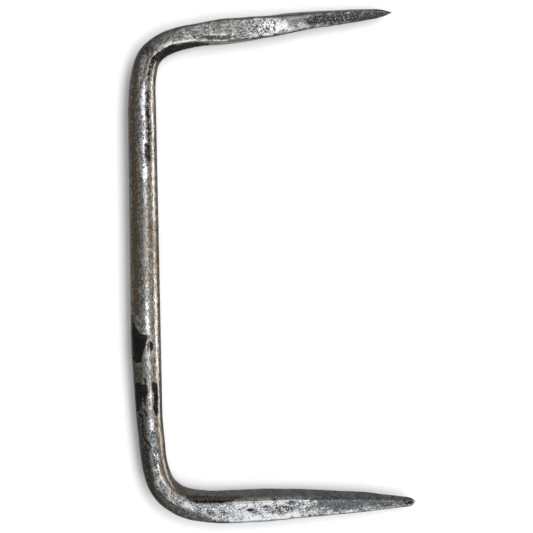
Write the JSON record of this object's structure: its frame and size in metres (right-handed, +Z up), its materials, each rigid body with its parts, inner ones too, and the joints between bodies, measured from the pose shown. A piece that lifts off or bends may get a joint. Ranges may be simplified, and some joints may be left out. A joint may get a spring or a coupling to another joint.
{
  "type": "timber dog",
  "caption": "Hand-forged steel timber dog: a round bar whose bent ends are drawn out to square points, driven into timbers to hold them together.",
  "frame": {"origin": "centre of the outline's bounding box, on the surface that the dog lies flat on", "axes": "+Y along the spine towards the shorter, upper leg; +X from the spine towards the points; +Z up from the surface it lies on"},
  "size_m": [0.117, 0.209, 0.0129],
  "materials": {
    "forged_steel": "bare wrought steel: dark blue-black and brown forge scale, pitted all over, rubbed bright along the crown of the bar and on the hammered flats"
  },
  "bodies": {
    "root": {"forged_bar": "forged_steel"}
  },
  "joints": []
}
